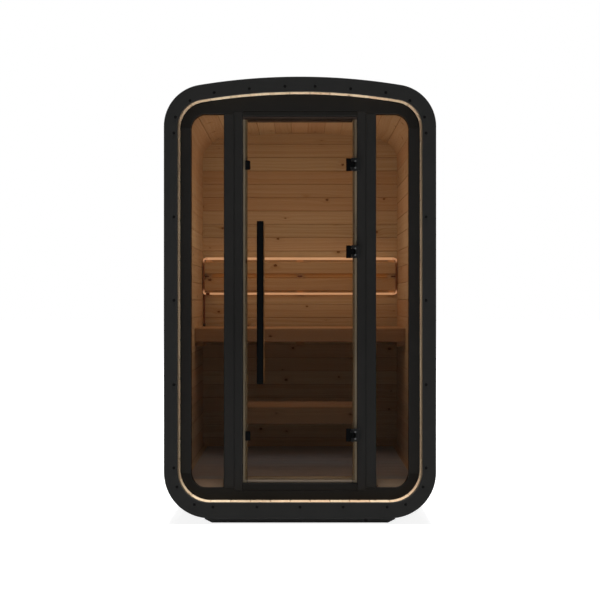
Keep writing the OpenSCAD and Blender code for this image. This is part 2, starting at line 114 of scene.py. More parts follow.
def loft(rows, along=None, board=0, ring=False):
    """Quads between neighbouring rows, each a closed loop of points, with flat ends.

    Where ring is true, the last row joins the first instead. The grain map is in metres:
    the way along and the way round the loop, both moved on by BOARD_SHIFT for each board
    number. On an end it is the way across, and END_GRAIN of the way through as the way
    along. The faces are turned outwards by the sign of the volume they enclose.
    """
    rows = np.asarray(rows, float)
    n, m = rows.shape[:2]
    i, j = np.meshgrid(np.arange(n if ring else n - 1), np.arange(m), indexing="ij")
    corners = [(i, j), (i + 1, j), (i + 1, j + 1), (i, j + 1)]
    faces = np.stack([a % n * m + b % m for a, b in corners], -1).reshape(-1, 4).tolist()
    looped = np.concatenate([rows, rows[:1]])
    if along is None:
        step = np.linalg.norm(np.diff(looped, axis=0), axis=2).mean(1)
        along = np.append(0, np.cumsum(step))[:, None] + np.zeros(m + 1)
    widest = rows[n // 2]
    step = np.linalg.norm(np.diff(np.concatenate([widest, widest[:1]]), axis=0), axis=1)
    across = np.append(0, np.cumsum(step))
    grain = np.stack([np.stack([along[a, b], across[b] + 0 * a], -1) for a, b in corners], 2)
    grain = [grain.reshape(-1, 2)]
    if not ring:
        for k, order in ((0, np.arange(m)), (n - 1, np.arange(m)[::-1])):
            local = rows[k] - rows[k].mean(0)
            main = np.linalg.svd(local, full_matrices=False)[2]
            faces.append((k * m + order).tolist())
            flat = np.stack([along[k, 0] + END_GRAIN * local @ main[1], local @ main[0]], -1)
            grain.append(flat[order])
    grain = np.concatenate(grain) + board * np.array(BOARD_SHIFT)
    points = rows.reshape(-1, 3)
    triangles = np.array([(f[0], f[k], f[k + 1]) for f in faces for k in range(1, len(f) - 1)])
    a, b, c = np.moveaxis(points[triangles] - points.mean(0), 1, 0)
    if (a * np.cross(b, c)).sum() < 0:
        ends = np.cumsum([len(f) for f in faces])
        grain = np.concatenate([part[::-1] for part in np.split(grain, ends[:-1])])
        faces = [f[::-1] for f in faces]
    return points, faces, grain


def piece(name, lofts, finish, nodes=(), body="cabin"):
    """One object from several lofts, with its finish, its CAD nodes and the body it rides on."""
    points, faces, grain, count = [], [], [], 0
    for part, its_faces, its_grain in lofts:
        points.append(part)
        faces += [[k + count for k in face] for face in its_faces]
        grain.append(its_grain)
        count += len(part)
    mesh = bpy.data.meshes.new(name)
    mesh.from_pydata(np.concatenate(points).tolist(), [], faces)
    mesh.uv_layers.new(name="grain").data.foreach_set("uv", np.concatenate(grain).ravel())
    dress(name, mesh, finish, nodes, body, 40)


def dress(name, mesh, finish, nodes, body, sharp):
    """Shades a mesh smooth but for edges that turn by more than sharp degrees.

    It also gives the mesh its finish, its CAD nodes and the body it rides on.
    """
    mesh.polygons.foreach_set("use_smooth", np.ones(len(mesh.polygons), bool))
    mesh.set_sharp_from_angle(angle=math.radians(sharp))
    mesh.materials.append(finish)
    obj = bpy.data.objects.new(name, mesh)
    bpy.context.collection.objects.link(obj)
    even = obj.modifiers.new("even shading", "WEIGHTED_NORMAL")
    even.keep_sharp = True
    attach(obj, body)
    if nodes:
        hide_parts(*nodes)
    return obj


def stave(face, back, start, end, number, groove=0.0028, slope=0.0032, samples=9):
    """One board of an arch, between two t values.

    Its section is the two outlines between them, with the edges of the grooved face cut
    back by groove over slope, and the board carries it from front to rear.
    """
    ease = slope * (end - start) / np.linalg.norm(arch(face, start) - arch(face, end))
    t = np.concatenate([[start], np.linspace(start + ease, end - ease, samples), [end]])
    front, rear = arch(face, t), arch(back, t)
    cut = np.zeros((len(t), 1))
    cut[[0, -1]] = groove / np.linalg.norm(front[0] - rear[0])
    section = np.concatenate([front * (1 - cut) + rear * cut, rear[::-1]])
    rows = np.stack([np.stack([section[:, 0], np.full(len(section), y), section[:, 1]], -1)
                     for y in CABIN_ENDS])
    return loft(rows, board=number)


def staves(face, back, joints, first, **cut):
    """A stave between each joint and the next, numbered from first."""
    return [stave(face, back, a, b, first + k, **cut)
            for k, (a, b) in enumerate(zip(joints[:-1], joints[1:]))]


class Finish:
    """A material as it is built up: its shader, and short ways to add nodes to it."""

    def __init__(self, name, roughness, specular=0.25):
        self.material = bpy.data.materials.new(name)
        self.material.use_nodes = True
        self.tree = self.material.node_tree
        self.shader = self.tree.nodes["Principled BSDF"]
        self.set(Roughness=roughness)
        self.shader.inputs["Specular IOR Level"].default_value = specular

    def put(self, socket, value):
        """Links another node's output to a socket, or sets its plain value."""
        if isinstance(value, bpy.types.NodeSocket):
            self.tree.links.new(value, socket)
        else:
            socket.default_value = value

    def set(self, **values):
        """Puts values into the shader's inputs, by their names."""
        for key, value in values.items():
            self.put(self.shader.inputs[key.replace("_", " ")], value)

    def node(self, kind, inputs, out=0, **settings):
        """One output of a new node with these inputs and settings."""
        made = self.tree.nodes.new("ShaderNode" + kind)
        for key, value in settings.items():
            setattr(made, key, value)
        for key, value in inputs.items():
            self.put(made.inputs[key], value)
        return made.outputs[out]

    def calc(self, operation, a, b=0.0):
        """The result of a sum, product or other operation on one or two values."""
        return self.node("Math", {0: a, 1: b}, operation=operation)

    def ramp(self, value, low, high, start=0.0, end=1.0):
        """start below low, end above high, and an S-shaped rise between."""
        return self.node("MapRange", {0: value, 1: low, 2: high, 3: start, 4: end},
                         interpolation_type="SMOOTHSTEP")

    def point(self, x, y, z):
        """A vector made of three values."""
        return self.node("CombineXYZ", {0: x, 1: y, 2: z})

    def stretch(self, vector, by):
        """A vector times another, axis by axis."""
        return self.node("VectorMath", {0: vector, 1: by}, operation="MULTIPLY")

    def noise(self, vector, scale=1.0, detail=2.0, rough=0.5):
        """Smooth noise about a half, with finer and fainter layers added."""
        return self.node("TexNoise", {"Vector": vector, "Scale": scale, "Detail": detail,
                                      "Roughness": rough})

    def mix(self, share, first, second):
        """A colour that goes from the first to the second as share goes from 0 to 1."""
        first, second = (c if isinstance(c, bpy.types.NodeSocket) else (*c, 1)
                         for c in (first, second))
        return self.node("Mix", {0: share, 6: first, 7: second}, out=2, data_type="RGBA")

    def bump(self, height, strength, distance):
        """Tilts the shader's normal by the slope of height."""
        self.set(Normal=self.node("Bump", {"Height": height, "Strength": strength,
                                           "Distance": distance}))

    def place(self):
        """A point's own place in the object, in metres."""
        return self.node("TexCoord", {}, out=3)


def softwood(name, pale, deep, knot, roughness=0.6, specular=0.2, joint=0.0, end=None):
    """Planed softwood. The grain map gives the way along and across each board.

    The way across, bent by slow noise and round each knot, feeds a noise that is drawn out
    along the board, which makes the growth lines. A random number for each board shifts
    its tone, and a cell pattern with a random size for each cell makes the knots. A joint
    darkens the first edge of each board over that width, and end, an axis, is the one
    whose faces show darker end grain.
    """
    f = Finish(name, roughness, specular)
    split = f.node("UVMap", {}, uv_map="grain")
    along = f.node("SeparateXYZ", {0: split}, out=0)
    way = f.node("SeparateXYZ", {0: split}, out=1)
    number = f.calc("FLOOR", f.calc("DIVIDE", way, BOARD_SHIFT[1]))
    across = f.calc("SUBTRACT", way, f.calc("MULTIPLY", number, BOARD_SHIFT[1]))
    luck = f.node("TexWhiteNoise", {"W": f.calc("ADD", number, 0.37)}, noise_dimensions="1D")
    cells = f.node("TexVoronoi", {"Vector": f.point(f.calc("MULTIPLY", along, 0.75), way, 0.0),
                                  "Scale": 7.5}, voronoi_dimensions="2D")
    largest_knot = 0.055
    size = f.ramp(f.node("SeparateColor", {0: cells.node.outputs["Color"]}), 0.25, 1.0,
                  0.0, largest_knot)
    near = f.ramp(cells, 0.0, 0.30, 1.0, 0.0)
    bend = f.calc("MULTIPLY", near, f.calc("MULTIPLY", size, 0.35))
    drift = f.noise(f.point(f.calc("MULTIPLY", along, 1.3), f.calc("MULTIPLY", across, 6.0),
                            f.calc("MULTIPLY", number, 3.3)))
    bent = f.calc("ADD", f.calc("ADD", across, bend), f.calc("MULTIPLY", drift, 0.06))
    lined = f.point(f.calc("MULTIPLY", along, 0.7), f.calc("MULTIPLY", bent, 95.0),
                    f.calc("MULTIPLY", number, 2.7))
    lines = f.ramp(f.noise(lined, detail=4.0, rough=0.62), 0.36, 0.66)
    fine = f.noise(f.stretch(lined, (12.0, 5.0, 1.0)), detail=3.0)
    tone = f.calc("ADD", f.calc("MULTIPLY", lines, 0.42), f.calc("MULTIPLY", fine, 0.22))
    tone = f.calc("ADD", tone, f.calc("MULTIPLY", luck, 0.50))
    tone = f.calc("ADD", tone, f.calc("MULTIPLY", near, f.calc("MULTIPLY", size, 6.0)))
    wood = f.mix(tone, pale, deep)
    ruddy = f.node("TexWhiteNoise", {"W": f.calc("ADD", number, 0.71)}, noise_dimensions="1D")
    wood = f.mix(f.calc("MULTIPLY", ruddy, 0.45), wood, np.array(deep) * (1.25, 1.0, 0.95))
    depth = f.calc("SUBTRACT", size, cells.node.outputs["Distance"])
    dark = f.ramp(depth, -0.016, 0.010, 0.0, 0.9)
    if joint:
        edge = f.ramp(across, 0.0, joint, 0.75, 0.0)
        dark = f.calc("MAXIMUM", dark, edge)
    wood = f.mix(dark, wood, knot)
    if end is not None:
        facing = f.node("SeparateXYZ", {0: f.node("TexCoord", {}, out=1)}, out=end)
        cut = f.ramp(f.calc("ABSOLUTE", facing), 0.8, 0.95)
        wood = f.mix(cut, wood, np.array(deep) * 0.6)
    f.set(Base_Color=wood)
    f.bump(fine, 0.3, 0.0005)
    return f.material


shell_wood = softwood("spruce", (0.80, 0.68, 0.48), (0.58, 0.42, 0.265), (0.21, 0.11, 0.055),
                      joint=0.005, end=1)
piece("shell_staves",
      staves(INNER, inset(OUTLINE, STAVE_BACK), even_joints(INNER, STAVE_WIDTH), 0), shell_wood,
      ("lining_roof", "lining_top_corners", "lining_sides", "lining_low_corners",
       "lining_bottom"))

# ---------------------------------------------------------------------------
# Outer cladding
# Black stained boards over the staves, laid the same way. Each piece of the outline has a
# row of equal boards, with a wider V at each joint so that water runs off them.

CLADDING_ROWS = (7, 3, 14, 2, 8, 2, 14, 3)
CLADDING_FACE = 0.004
WIDE_V = {"groove": 0.004, "slope": 0.005}

black_boards = softwood("black stained spruce", (0.028, 0.028, 0.0275),
                        (0.017, 0.017, 0.017), (0.009, 0.009, 0.009), 0.6, 0.1)
joints = np.concatenate([k + np.arange(n) / n for k, n in enumerate(CLADDING_ROWS)] + [[8.0]])
piece("cladding_boards",
      staves(inset(OUTLINE, CLADDING_FACE), inset(OUTLINE, STAVE_BACK), joints, 120, **WIDE_V),
      black_boards,
      ("cladding_roof", "cladding_top_corners", "cladding_sides", "cladding_low_corners",
       "cladding_bottom"))

# ---------------------------------------------------------------------------
# End rings
# A flat black trim closes each end of the shell. It is cut to the cabin's outline, has
# eased edges, and is held by small domed screws that stand just proud of its outer face.

RING_INNER = (0.576, *INNER[1:])
RING_STEPS = (4, 20, 4, 20, 48, 20, 4, 20)
RING_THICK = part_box("rear_ring")[1][1] - CABIN_ENDS[1]
RING_EASE = 0.0025
SCREW_HEAD = 0.002


def rounded(width, height, radius, steps=3):
    """The points of a rectangle about the origin whose corners are quarter circles."""
    angle = np.linspace(0, math.pi / 2, steps + 1) + np.arange(4)[:, None] * math.pi / 2
    side = np.sign(np.cos(angle[:, 1:2])), np.sign(np.sin(angle[:, 1:2]))
    return np.stack([side[0] * (width / 2 - radius) + radius * np.cos(angle),
                     side[1] * (height / 2 - radius) + radius * np.sin(angle)], -1).reshape(-1, 2)


def end_ring(side):
    """A rounded rectangle carried round the outline, between its inner and outer edges."""
    t = np.concatenate([np.linspace(k, k + 1, n, endpoint=False)
                        for k, n in enumerate(RING_STEPS)])
    wide = OUTLINE[0] - RING_INNER[0]
    thick = RING_THICK - SCREW_HEAD
    section = rounded(wide, thick, RING_EASE)
    share = (section[:, 0] / wide + 0.5)[None, :, None]
    flat = arch(RING_INNER, t)[:, None] * (1 - share) + arch(OUTLINE, t)[:, None] * share
    y = side * (CABIN_ENDS[1] + thick / 2 + section[:, 1])
    return loft(np.stack([flat[..., 0], y + 0 * flat[..., 0], flat[..., 1]], -1), ring=True)


def turned(steps, centre, axis=2, sides=32, board=0):
    """Circles about an axis through centre, each given by its way along and its radius."""
    angle = np.linspace(0, 2 * math.pi, sides, endpoint=False)
    rows = np.empty((len(steps), sides, 3))
    for k, (way, radius) in enumerate(steps):
        rows[k, :, axis] = centre[axis] + way
        rows[k, :, (axis + 1) % 3] = centre[(axis + 1) % 3] + radius * np.cos(angle)
        rows[k, :, (axis + 2) % 3] = centre[(axis + 2) % 3] + radius * np.sin(angle)
    return loft(rows, board=board)


def screw(centre, side, radius=0.0068, head=SCREW_HEAD):
    """A domed head with a round socket, as circles, standing on centre towards that side."""
    steps = np.array([(-0.5, 0.9), (0.0, 1.0), (0.35, 1.0), (0.75, 0.86), (1.0, 0.55),
                      (1.0, 0.42), (0.35, 0.36)]) * (head * side, radius)
    return turned(steps, centre, 1, 14)


def satin(name, colour, roughness, specular, mottle=0.15, grain=260.0, depth=0.0002):
    """A satin coat: slow noise shifts its tone, and fine noise its roughness and surface."""
    f = Finish(name, roughness, specular)
    slow = f.noise(f.place(), 9.0, 3.0)
    fine = f.noise(f.place(), grain, 2.0)
    colour = np.array(colour)
    f.set(Base_Color=f.mix(slow, colour * (1 - mottle), colour * (1 + mottle)),
          Roughness=f.ramp(f.calc("ADD", f.calc("MULTIPLY", slow, 0.6),
                                  f.calc("MULTIPLY", fine, 0.4)), 0.3, 0.7,
                           roughness - 0.07, roughness + 0.07))
    f.bump(fine, 0.35, depth)
    return f.material


black_trim = satin("black trim", (0.0270, 0.0270, 0.0263), 0.55, 0.05)
black_screw = satin("black screw", (0.002, 0.002, 0.002), 0.4, 0.05)
half_ring = np.array([(0.592, 1.840), (0.592, 1.446), (0.592, 1.054), (0.592, 0.658),
                      (0.592, 0.267), (0.585, 1.915), (0.516, 1.992), (0.403, 2.030),
                      (0.238, 2.048), (0.071, 2.059), (0.202, 0.0836), (0.409, 0.0836),
                      (0.496, 0.095), (0.578, 0.178)])
ring_screws = np.concatenate([half_ring, half_ring * (-1, 1), [(0.0, 0.0836)]])
for end, side in (("front", -1), ("rear", 1)):
    piece(end + "_trim", [end_ring(side)], black_trim, (end + "_ring",))
    face = side * (CABIN_ENDS[1] + RING_THICK - SCREW_HEAD)
    piece(end + "_trim_screws", [screw((x, face, z), side) for x, z in ring_screws],
          black_screw)

# ---------------------------------------------------------------------------
# Back wall
# Spruce boards laid level inside the arch, tongue to groove, with a V at each joint.
# Black boards of the same width close it outside.

BACK_PITCH = 0.07841
BACK_JOINT = 0.9514
SLIMMEST = 0.02
BACK_INSIDE, BACK_MIDDLE = (corner[1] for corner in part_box("back_lining"))
BACK_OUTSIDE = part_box("back_cladding")[1][1]


def half_width(shape, z):
    """How far the outline reaches to the side at a height."""
    at = arch(shape, np.linspace(0.999, 4.5, 4000))
    return np.maximum(np.interp(z, at[:, 1], at[:, 0]), 0.002)


def level_boards(inside, y_face, y_back, first, groove=0.0028, slope=0.0032, samples=15):
    """Level boards that fill the arch, their joints a pitch apart, grooved on one face.

    A board's section is its two faces from bottom to top, with more points near the top.
    The board carries it from one side of the arch to the other, as wide as the arch is
    at each height. The lowest and the highest board are no slimmer than SLIMMEST.
    """
    low, crown = inside[1], inside[2]
    joints = BACK_JOINT + BACK_PITCH * np.arange(-30, 30)
    kept = (joints > low + SLIMMEST) & (joints < crown - SLIMMEST)
    joints = np.concatenate([[low], joints[kept], [crown]])
    cut = groove * np.sign(y_back - y_face)
    made = []
    for k, (a, b) in enumerate(zip(joints[:-1], joints[1:])):
        s = np.linspace(0, 1, samples)
        z = np.concatenate([[a], a + slope + (b - a - 2 * slope) * (1 - (1 - s) ** 2), [b]])
        y = np.concatenate([[y_face + cut], np.full(samples, y_face), [y_face + cut]])
        section = np.concatenate([np.stack([y, z], -1), np.stack([0 * z + y_back, z[::-1]], -1)])
        reach = half_width(inside, section[:, 1])
        rows = np.stack([np.stack([side * reach, section[:, 0], section[:, 1]], -1)
                         for side in (-1, 1)])
        along = np.stack([np.append(side * reach, side * reach[0]) for side in (-1, 1)])
        made.append(loft(rows, along, first + k))
    return made


back_spruce = softwood("back wall spruce", (0.80, 0.71, 0.51), (0.54, 0.40, 0.245),
                       (0.21, 0.11, 0.055), joint=0.005)
piece("back_wall_boards", level_boards(INNER, BACK_INSIDE, BACK_MIDDLE, 200), back_spruce,
      ("back_lining",))
piece("back_outer_boards", level_boards(INNER, BACK_OUTSIDE, BACK_MIDDLE, 240, **WIDE_V),
      black_boards, ("back_cladding",))

# ---------------------------------------------------------------------------
# Feet
# Three treated timbers lie across under the shell and keep it off the ground. Their lower
# corners are cut at a slant.

AXES = ((1, 2, 0), (0, 2, 1), (0, 1, 2))


def solids(node):
    """(lowest corner, highest corner) of each separate solid of a CAD node, from below."""
    work = bmesh.new()
    work.from_mesh(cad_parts[node].data)
    bmesh.ops.remove_doubles(work, verts=work.verts, dist=1e-6)
    left, found = set(work.verts), []
    while left:
        edge, seen = [left.pop()], []
        while edge:
            vert = edge.pop()
            seen.append(tuple(vert.co))
            for link in vert.link_edges:
                other = link.other_vert(vert)
                if other in left:
                    left.remove(other)
                    edge.append(other)
        found.append((np.min(seen, 0), np.max(seen, 0)))
    work.free()
    return sorted(found, key=lambda box: tuple(np.round(box[0][::-1], 4)))


def timber(low, high, axis, radius=0.003, ease=0.0018, number=0):
    """A planed timber that fills a box: a rounded rectangle carried along an axis.

    AXES gives the two axes across it and the one along. At both ends the loop is drawn in
    by ease, over the same distance.
    """
    low, high = np.asarray(low, float), np.asarray(high, float)
    a, b, c = AXES[axis]
    size = high - low
    middle = (low + high)[[a, b]] / 2
    full = rounded(size[a], size[b], radius)
    tight = rounded(size[a] - 2 * ease, size[b] - 2 * ease, radius - ease * 0.5)
    steps = ((low[c], tight), (low[c] + ease, full), (high[c] - ease, full), (high[c], tight))
    rows = np.empty((4, len(full), 3))
    for k, (way, loop) in enumerate(steps):
        rows[k][:, [a, b]] = loop + middle
        rows[k][:, c] = way
    return loft(rows, board=number)


def timbers(node, axis, first, radius=0.003, ease=0.0018):
    """A planed timber for each solid of a CAD node."""
    return [timber(low, high, axis, radius, ease, first + k)
            for k, (low, high) in enumerate(solids(node))]


def runner(low, high, number, reach=0.034, rise=0.017, ease=0.002, radius=0.004):
    """A timber across the cabin whose lower corners are cut at a slant of reach by rise.

    It is a rounded rectangle at each of six places along it, drawn in by ease at the ends.
    """
    rows = []
    for way, drawn, cut in ((0, ease, rise), (ease, 0, rise * (1 - ease / reach)), (reach, 0, 0)):
        height = high[2] - low[2] - cut - drawn
        y, z = rounded(high[1] - low[1] - 2 * drawn, height, radius - drawn).T
        y, z = y + (low[1] + high[1]) / 2, z + low[2] + cut + height / 2
        rows.append([np.stack([x + 0 * y, y, z], -1) for x in (low[0] + way, high[0] - way)])
    return loft([row[0] for row in rows] + [row[1] for row in rows[::-1]], board=number)


# Much paler than the black stain of the cladding: painted light on the feet, which stand back in
# shade under the shell.
foot_wood_painted_light = softwood("black foot timber painted light", (0.072, 0.072, 0.071), (0.052, 0.052, 0.051),
                     (0.020, 0.020, 0.020), 0.6, 0.1)
foot_timbers = [runner(low, high, 280 + k) for k, (low, high) in enumerate(solids("feet"))]
piece("foot_timbers", foot_timbers, foot_wood_painted_light, ("feet",))

# ---------------------------------------------------------------------------
# Floor
# Duckboards with a narrow gap between them, on four joists that stand on the shell. A
# board closes their front edge and a bead fills the foot of each side window, both pale
# with painted light for the daylight that falls on them through the glass.

FLOOR_BOARDS, FLOOR_GAP = 12, 0.004
EDGE_HALF, EDGE_LOW, EDGE_THICK = 0.530, 0.150, 0.010
BEAD_GAP = 0.004
BEAD_SECTION = ((-0.7365, 0.1615), (-0.6982, 0.1615), (-0.6982, 0.1960), (-0.7020, 0.1960))

floor_wood = softwood("grey oiled floor board", (0.45, 0.51, 0.61), (0.39, 0.425, 0.51),
                      (0.16, 0.14, 0.14), 0.7)
# Pale pinkish wood: painted light on the edge board and the beads.
edge_wood_painted_light = softwood("edge board painted light", (0.64, 0.59, 0.55), (0.56, 0.50, 0.46),
                     (0.30, 0.20, 0.15), 0.6)
piece("floor_joist_timbers", timbers("floor_joists", 0, 290), floor_wood, ("floor_joists",))
deck_low, deck_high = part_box("floor_deck")
edge_board = timber((-EDGE_HALF, deck_low[1], EDGE_LOW),
                    (EDGE_HALF, deck_low[1] + EDGE_THICK, deck_low[2]), 0, 0.001, 0.0005, 319)
piece("floor_edge_board", [edge_board], edge_wood_painted_light, ())
beads = []
for k, (low, high) in enumerate(solids("side_windows")):
    ends = (low[0] + BEAD_GAP, high[0] - BEAD_GAP)
    beads.append(loft([[(x, y, z) for y, z in BEAD_SECTION] for x in ends], board=330 + k))
piece("window_beads", beads, edge_wood_painted_light, ())
board_pitch = (deck_high[1] - deck_low[1] + FLOOR_GAP) / FLOOR_BOARDS
deck = []
for k in range(FLOOR_BOARDS):
    near = deck_low[1] + k * board_pitch
    deck.append(timber((deck_low[0], near, deck_low[2]),
                       (deck_high[0], near + board_pitch - FLOOR_GAP, deck_high[2]), 0,
                       number=300 + k))
piece("floor_duckboards", deck, floor_wood, ("floor_deck",))

# ---------------------------------------------------------------------------
# Front wall frame
# A painted timber frame set back inside the shell: header, stiles, posts and rail round
# the windows, and a door frame between the posts. Its edges are eased, and its level
# timbers get a darker copy of the paint: painted shade.

WIDE_EASE, FINE_EASE = 0.0032, 0.0012


def eased(name, node, finish, width, segments=2, body="cabin", angle=30):
    """A CAD node's solids with their edges rounded.

    Its loose triangles are merged and flat faces joined, and every edge that turns by more
    than angle degrees gets a bevel of that width.
    """
    work = bmesh.new()
    work.from_mesh(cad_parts[node].data)
    bmesh.ops.remove_doubles(work, verts=work.verts, dist=1e-6)
    bmesh.ops.dissolve_limit(work, angle_limit=math.radians(0.5), verts=work.verts,
                             edges=work.edges)
    mesh = bpy.data.meshes.new(name)
    work.to_mesh(mesh)
    work.free()
    obj = dress(name, mesh, finish, (node,), body, 35)
    bevel = obj.modifiers.new("eased edges", "BEVEL")
    bevel.width, bevel.segments, bevel.limit_method = width, segments, "ANGLE"
    bevel.angle_limit = math.radians(angle)
    bevel.use_clamp_overlap = True
    obj.modifiers.move(1, 0)


frame_paint = satin("black frame paint", (0.0235, 0.0230, 0.0222), 0.55, 0.05, grain=180.0)
# A darker copy of the frame paint: painted shade on the header, rail, door head and sill.
frame_paint_painted_shade = satin("black frame paint painted shade", (0.0145, 0.0140, 0.0132), 0.55, 0.05, grain=180.0)
for node, paint, width in (("front_header", frame_paint_painted_shade, WIDE_EASE),
                           ("front_stiles", frame_paint, FINE_EASE),
                           ("front_posts", frame_paint, WIDE_EASE),
                           ("front_rail", frame_paint_painted_shade, FINE_EASE),
                           ("door_jambs", frame_paint, WIDE_EASE),
                           ("door_head_sill", frame_paint_painted_shade, WIDE_EASE)):
    eased(node + "_painted", node, paint, width)

# ---------------------------------------------------------------------------
# Side windows
# Bronze tinted safety glass in the frame, one tall fixed pane on either side of the door,
# rounded with the shell at its outer corners.

GLASS_INDEX = 1.10


def tinted(name, tint, shine):
    """Clear tinted glass: what passes takes the tint, and Fresnel's law adds the gloss.

    A low index stands for a pane that mirrors little of a dark surrounding. Only the face
    that a ray enters by mirrors it, because the ray goes straight on inside.
    """
    f = Finish(name, 0.0)
    nodes, links = f.tree.nodes, f.tree.links
    nodes.remove(f.shader)
    clear = f.node("BsdfTransparent", {0: (*tint, 1)})
    gloss = f.node("BsdfGlossy", {"Color": (0.9, 0.9, 0.9, 1), "Roughness": 0.02})
    enters = f.calc("SUBTRACT", 1.0, f.node("NewGeometry", {}, out=6))
    share = f.calc("MULTIPLY", f.node("Fresnel", {"IOR": shine}), enters)
    both = f.node("MixShader", {0: share, 1: clear, 2: gloss})
    links.new(both, nodes["Material Output"].inputs["Surface"])
    return f.material


GLASS_TINT = tuple(math.sqrt(share) for share in (0.58, 0.52, 0.44))
glass = tinted("bronze glass", GLASS_TINT, GLASS_INDEX)
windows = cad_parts["side_windows"]
windows.data.materials.clear()
windows.data.materials.append(glass)

# ---------------------------------------------------------------------------
# Door stops
# Bare spruce battens behind the door frame, which the glass door closes against. They are
# copies of one wood for light and shade: the uprights painted shade, the low one painted
# light, and the top one, which laps over the ends of the two uprights, dark with painted
# shadow under the door head.

STOP_LAP = 0.014
STOP_TRIM = 0.0025

# Darker than bare spruce: painted shade on the uprights.
stop_wood_painted_shade = softwood("door stop spruce painted shade", (0.37, 0.335, 0.245), (0.27, 0.235, 0.165),
                     (0.09, 0.055, 0.035), 0.6)
uprights, laps = [], []
for k, (low, high) in enumerate(solids("door_stop_sides")):
    laps.append(timber((low[0], low[1], high[2] - STOP_LAP), high, 0, 0.001, 0.0005, 328 + k))
    if k == 0:
        high[0] -= STOP_TRIM
    else:
        low[0] += STOP_TRIM
    high[2] -= STOP_LAP
    uprights.append(timber(low, high, 2, 0.002, 0.001, 320 + k))
piece("stop_battens_upright", uprights, stop_wood_painted_shade, ("door_stop_sides",))
# Paler than the uprights: painted light on the low batten.
stop_wood_painted_light = softwood("stop spruce painted light", (0.47, 0.40, 0.31), (0.37, 0.30, 0.23),
                     (0.25, 0.15, 0.09), 0.6)
sill_stop, head_stop = timbers("door_stop_ends", 0, 326, 0.002, 0.001)
piece("stop_batten_low", [sill_stop], stop_wood_painted_light, ("door_stop_ends",))
# Nearly black: painted shadow of the door head on the top batten and its laps.
stop_wood_painted_shadow = softwood("stop spruce painted shadow", (0.078, 0.064, 0.056), (0.056, 0.042, 0.036),
                    (0.04, 0.02, 0.015), 0.6)
piece("stop_batten_high", [head_stop] + laps, stop_wood_painted_shadow, ("door_stop_ends",))

# ---------------------------------------------------------------------------
# Door
# One sheet of the same glass, hung on its right edge and ground smooth all round.

EDGE_EASE = 0.0008

eased("door_pane", "door_glass", glass, EDGE_EASE, segments=1, body="door")

# ---------------------------------------------------------------------------
# Hinges
# Three cast hinges. A leaf screwed to the jamb over a thin back plate carries the pin, and
# a clamp of two plates holds the glass without a hole.

LEAF_X, LEAF_SET_BACK = 0.263, 0.004
PLATE_HALF, PLATE_PROUD, PLATE_LET_IN = 0.010, 0.0005, 0.0010
GRUB_RISE, GRUB_RADIUS, GRUB_HEAD = 0.016, 0.0043, 0.0012

hinge_metal = satin("dark hinge metal", (0.0150, 0.0152, 0.0155), 0.45, 0.05, 0.1, 500.0, 0.0001)
eased("hinge_frame_leaves", "hinge_leaves", hinge_metal, EDGE_EASE, angle=40)
leaf_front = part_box("hinge_leaves")[0][1] + LEAF_SET_BACK
stop_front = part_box("door_stop_sides")[0][1]
plates, grub_screws = [], []
for low, high in solids("hinge_leaves"):
    plates.append(timber((LEAF_X - PLATE_HALF, stop_front - PLATE_PROUD, low[2]),
                         (LEAF_X + PLATE_HALF, stop_front + PLATE_LET_IN, high[2]), 2,
                         0.0004, 0.0002))
    middle = (low[2] + high[2]) / 2
    for way in (-GRUB_RISE, GRUB_RISE):
        grub_screws.append(screw((LEAF_X, leaf_front, middle + way), -1, GRUB_RADIUS, GRUB_HEAD))
piece("hinge_back_plates", plates, hinge_metal, ())
steel = satin("steel screw", (0.125, 0.129, 0.133), 0.4, 0.3)
piece("hinge_grub_screws", grub_screws, steel)
black_metal = satin("black metal", (0.0012, 0.0014, 0.0016), 0.45, 0.03, 0.1, 500.0, 0.0001)
eased("hinge_glass_clamps", "hinge_clamps", black_metal, EDGE_EASE, body="door",
      angle=40)

# ---------------------------------------------------------------------------
# Glass clips
# Two black clips on the free edge of the door, one plate on either side of the glass.

eased("free_edge_clips", "glass_clips", black_metal, EDGE_EASE, body="door")

# ---------------------------------------------------------------------------
# Door handles
# A straight black bar on two posts outside, bolted through the glass to a wooden bar
# inside that stays cool to the hand.

handle_low, handle_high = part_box("door_handle")
HANDLE_X = (handle_low[0] + handle_high[0]) / 2
HANDLE_Z = (handle_low[2], handle_high[2])
GLASS_Y = [corner[1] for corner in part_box("door_glass")]
OUTSIDE_Y, INSIDE_Y = GLASS_Y[0] - 0.066, GLASS_Y[1] + 0.045
POST_Z, POST_RADIUS = (0.750, 1.338), 0.009
WASHER_RADIUS, WASHER_THICK, WASHER_EASE = 0.014, 0.0036, 0.0006


def bar(y, radius, cut, number=0):
    """A round upright bar: circles whose radius falls by a quarter circle of cut at each end."""
    angle = np.linspace(0, math.pi / 2, 5)
    turn = [(cut * (1 - math.sin(a)), radius - cut * (1 - math.cos(a))) for a in angle]
    low = [(HANDLE_Z[0] + way, size) for way, size in turn[::-1]]
    high = [(HANDLE_Z[1] - way, size) for way, size in turn]
    return turned(low + high, (HANDLE_X, y, 0.0), 2, 40, number)


def posts(start, end):
    """Two round posts from start to end, each with a flat round washer at its end."""
    made = []
    way = math.copysign(1, end - start)
    narrow = WASHER_RADIUS - WASHER_EASE
    washer = ((0, narrow), (WASHER_EASE, WASHER_RADIUS),
              (WASHER_THICK - WASHER_EASE, WASHER_RADIUS), (WASHER_THICK, narrow))
    for z in POST_Z:
        at = (HANDLE_X, 0.0, z)
        made.append(turned([(start, POST_RADIUS), (end, POST_RADIUS)], at, 1))
        made.append(turned([(end - way * back, radius) for back, radius in washer], at, 1))
    return made


